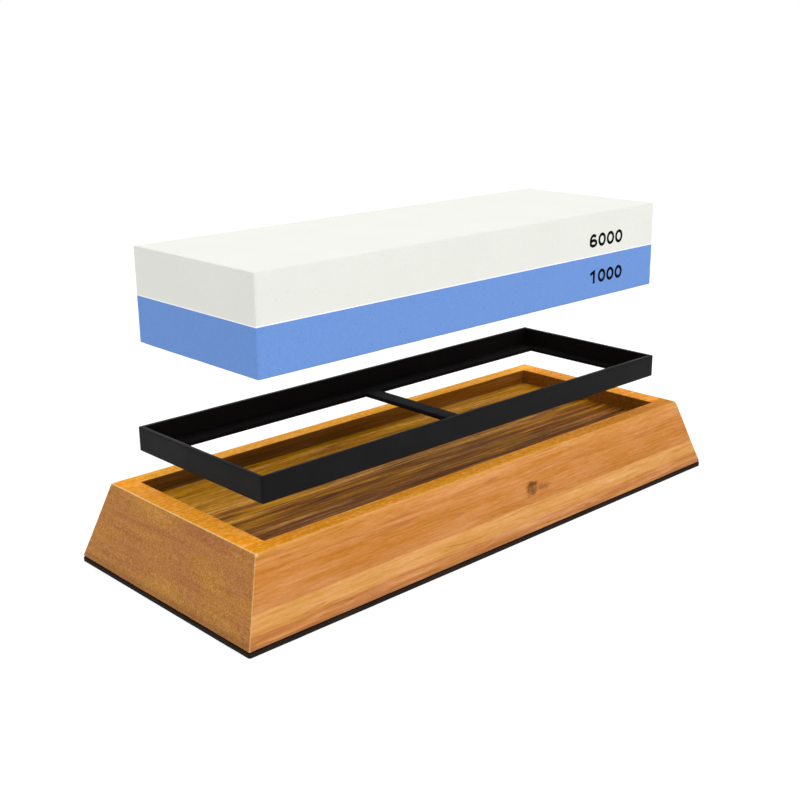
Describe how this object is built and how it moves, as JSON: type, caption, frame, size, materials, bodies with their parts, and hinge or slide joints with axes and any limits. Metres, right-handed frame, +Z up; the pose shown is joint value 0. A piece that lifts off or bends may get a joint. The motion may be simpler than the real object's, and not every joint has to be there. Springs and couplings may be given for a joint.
{
  "type": "sharpening whetstone",
  "caption": "Two-grit rectangular sharpening stone above a moulded holder frame and a wooden base with sloping sides, a recess and an anti-slip pad.",
  "frame": {"origin": "on the bench under the middle of the anti-slip pad", "axes": "+X along the stone's length, +Y across it, +Z up through base, holder and stone"},
  "size_m": [0.2162, 0.0898, 0.1022],
  "materials": {
    "fine_grit": "matt, very fine off-white grain",
    "bond": "thin white resin line",
    "coarse_grit": "matt blue grain, a little coarser",
    "holder_rubber": "satin black moulded rubber",
    "wood": "satin orange-brown wood, grain along the length",
    "adhesive": "pale double-sided film",
    "pad_rubber": "matt brown-black sheet rubber"
  },
  "bodies": {
    "base": {"wooden_base": "wood", "pad_adhesive_film": "adhesive", "anti_slip_pad": "pad_rubber"},
    "holder": {"stone_holder_frame": "holder_rubber"},
    "stone": {"coarse_grit_layer": "coarse_grit", "bond_line": "bond", "fine_grit_layer": "fine_grit"}
  },
  "joints": [
    {"name": "holder_lift", "type": "slide", "parent": "base", "child": "holder", "axis": [0, 0, 1], "range_m": [-0.0159, 0]},
    {"name": "stone_lift", "type": "slide", "parent": "holder", "child": "stone", "axis": [0, 0, 1], "range_m": [-0.0334, 0]}
  ]
}
